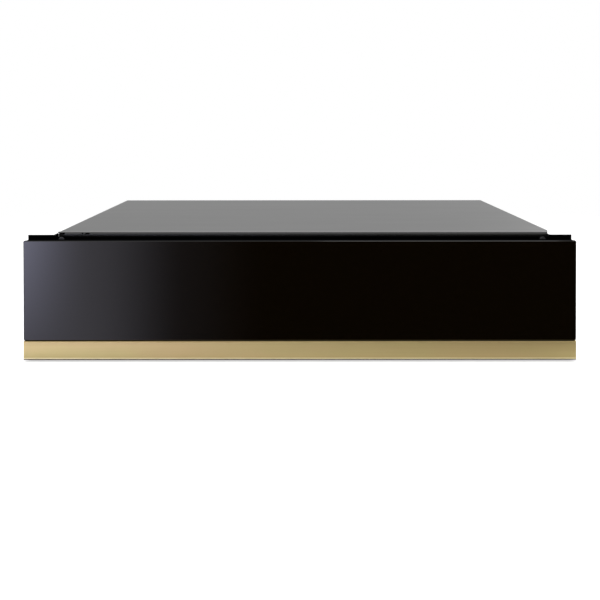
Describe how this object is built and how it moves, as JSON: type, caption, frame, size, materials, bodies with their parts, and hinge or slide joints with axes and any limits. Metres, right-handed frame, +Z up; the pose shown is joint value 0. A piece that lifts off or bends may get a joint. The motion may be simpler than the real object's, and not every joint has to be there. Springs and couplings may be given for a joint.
{
  "type": "vacuum sealing drawer",
  "caption": "Built-in kitchen drawer with a black glass front that runs out on telescopic runners and holds a vacuum chamber, lid, sealing bar and pump.",
  "frame": {"origin": "centre of the bounding box's underside, on the surface that the foot pads stand on", "axes": "+X to the right as seen from the front, +Y to the back, +Z up"},
  "size_m": [0.595, 0.568, 0.136],
  "materials": {
    "black_glass": "polished, opaque black",
    "tinted_glass": "grey tinted, polished edges",
    "gold_aluminium": "anodised, fine satin",
    "black_steel": "black powder coat",
    "grey_steel": "dark grey coat",
    "cover_steel": "fine brushed across",
    "zinc_steel": "zinc coated",
    "bright_steel": "bright zinc",
    "cage_steel": "bright, with steel balls",
    "stainless": "fine brushed",
    "rubber_black": "matt",
    "silicone_grey": "matt",
    "hose": "satin",
    "black_plastic": "moulded, fine grain",
    "plain_aluminium": "satin",
    "heating_band": "covered with a brown release tape",
    "steel_laminations": "bare laminations",
    "circuit_board": "solder resist"
  },
  "bodies": {
    "housing": {"front_frame": "black_steel", "front_crossmember": "grey_steel", "housing_shell": "zinc_steel", "top_cover": "cover_steel", "rear_panel": "zinc_steel", "housing_fasteners": "bright_steel", "foot_pads": "rubber_black", "mains_inlet": "black_plastic", "push_latch_body": "black_plastic", "stop_buffers": "rubber_black", "runner_outer_left": "zinc_steel", "runner_outer_right": "zinc_steel"},
    "latch_plunger": {"push_latch_plunger": "black_plastic"},
    "middle_left": {"runner_middle_left": "zinc_steel"},
    "middle_right": {"runner_middle_right": "zinc_steel"},
    "retainers_outer": {"ball_retainers_outer": "cage_steel"},
    "retainers_inner": {"ball_retainers_inner": "cage_steel"},
    "drawer": {"front_glass": "black_glass", "front_strip": "gold_aluminium", "front_carrier": "black_steel", "front_inner_panel": "black_steel", "front_brackets": "zinc_steel", "bracket_screws": "bright_steel", "drawer_base": "zinc_steel", "drawer_rear_wall": "zinc_steel", "runner_inner_left": "zinc_steel", "runner_inner_right": "zinc_steel", "deck_plate": "stainless", "control_glass": "black_glass", "control_board": "circuit_board", "chamber_pan": "stainless", "suction_grille": "stainless", "chamber_seal": "silicone_grey", "lid_glass": "tinted_glass", "hinge_brackets": "stainless", "hinge_arms": "stainless", "hinge_pins": "bright_steel", "lid_springs": "bright_steel", "counter_bar_holder": "plain_aluminium", "counter_bar": "silicone_grey", "lift_cylinders": "plain_aluminium", "motor_case": "plain_aluminium", "motor_stator": "steel_laminations", "pump_head": "plain_aluminium", "pump_end_cover": "plain_aluminium", "pump_mounts": "rubber_black", "valve_block": "plain_aluminium", "solenoid_coils": "black_plastic", "vacuum_hoses": "hose", "transformer": "steel_laminations", "power_board": "circuit_board", "fan_frame": "black_plastic"},
    "sealing_bar": {"sealing_bar": "plain_aluminium", "heating_band": "heating_band", "bar_end_blocks": "black_plastic", "lift_pistons": "bright_steel"},
    "pump_rotor": {"pump_rotor": "steel_laminations"},
    "fan_rotor": {"fan_rotor": "black_plastic"},
    "vent_plunger": {"vent_valve_plunger": "bright_steel"},
    "pump_plunger": {"pump_valve_plunger": "bright_steel"}
  },
  "joints": [
    {"name": "drawer_slide", "type": "slide", "parent": "housing", "child": "drawer", "axis": [0, -1, 0], "range_m": [-0.003, 0.43]},
    {"name": "middle_left_slide", "type": "slide", "parent": "housing", "child": "middle_left", "axis": [0, -1, 0], "range_m": [-0.0015, 0.215]},
    {"name": "middle_right_slide", "type": "slide", "parent": "housing", "child": "middle_right", "axis": [0, -1, 0], "range_m": [-0.0015, 0.215]},
    {"name": "retainers_outer_slide", "type": "slide", "parent": "housing", "child": "retainers_outer", "axis": [0, -1, 0], "range_m": [-0.00075, 0.1075]},
    {"name": "retainers_inner_slide", "type": "slide", "parent": "housing", "child": "retainers_inner", "axis": [0, -1, 0], "range_m": [-0.00225, 0.3225]},
    {"name": "latch_plunger_stroke", "type": "slide", "parent": "housing", "child": "latch_plunger", "axis": [0, -1, 0], "range_m": [0, 0.003], "stiffness_N_per_m": 150},
    {"name": "sealing_bar_lift", "type": "slide", "parent": "drawer", "child": "sealing_bar", "axis": [0, 0, 1], "range_m": [0, 0.006]},
    {"name": "pump_spin", "type": "hinge", "parent": "drawer", "child": "pump_rotor", "pos_m": [-0.11, 0.187, 0.0581], "axis": [1, 0, 0], "continuous": true},
    {"name": "fan_spin", "type": "hinge", "parent": "drawer", "child": "fan_rotor", "pos_m": [0.176, 0.241, 0.0581], "axis": [0, 1, 0], "continuous": true},
    {"name": "vent_valve_stroke", "type": "slide", "parent": "drawer", "child": "vent_plunger", "axis": [0, 0, 1], "range_m": [0, 0.0025], "stiffness_N_per_m": 300},
    {"name": "pump_valve_stroke", "type": "slide", "parent": "drawer", "child": "pump_plunger", "axis": [0, 0, 1], "range_m": [0, 0.0025], "stiffness_N_per_m": 300}
  ],
  "couplings": [
    {"joint": "middle_left_slide", "follows": "drawer_slide", "ratio": 0.5},
    {"joint": "middle_right_slide", "follows": "drawer_slide", "ratio": 0.5},
    {"joint": "retainers_outer_slide", "follows": "drawer_slide", "ratio": 0.25},
    {"joint": "retainers_inner_slide", "follows": "drawer_slide", "ratio": 0.75}
  ]
}
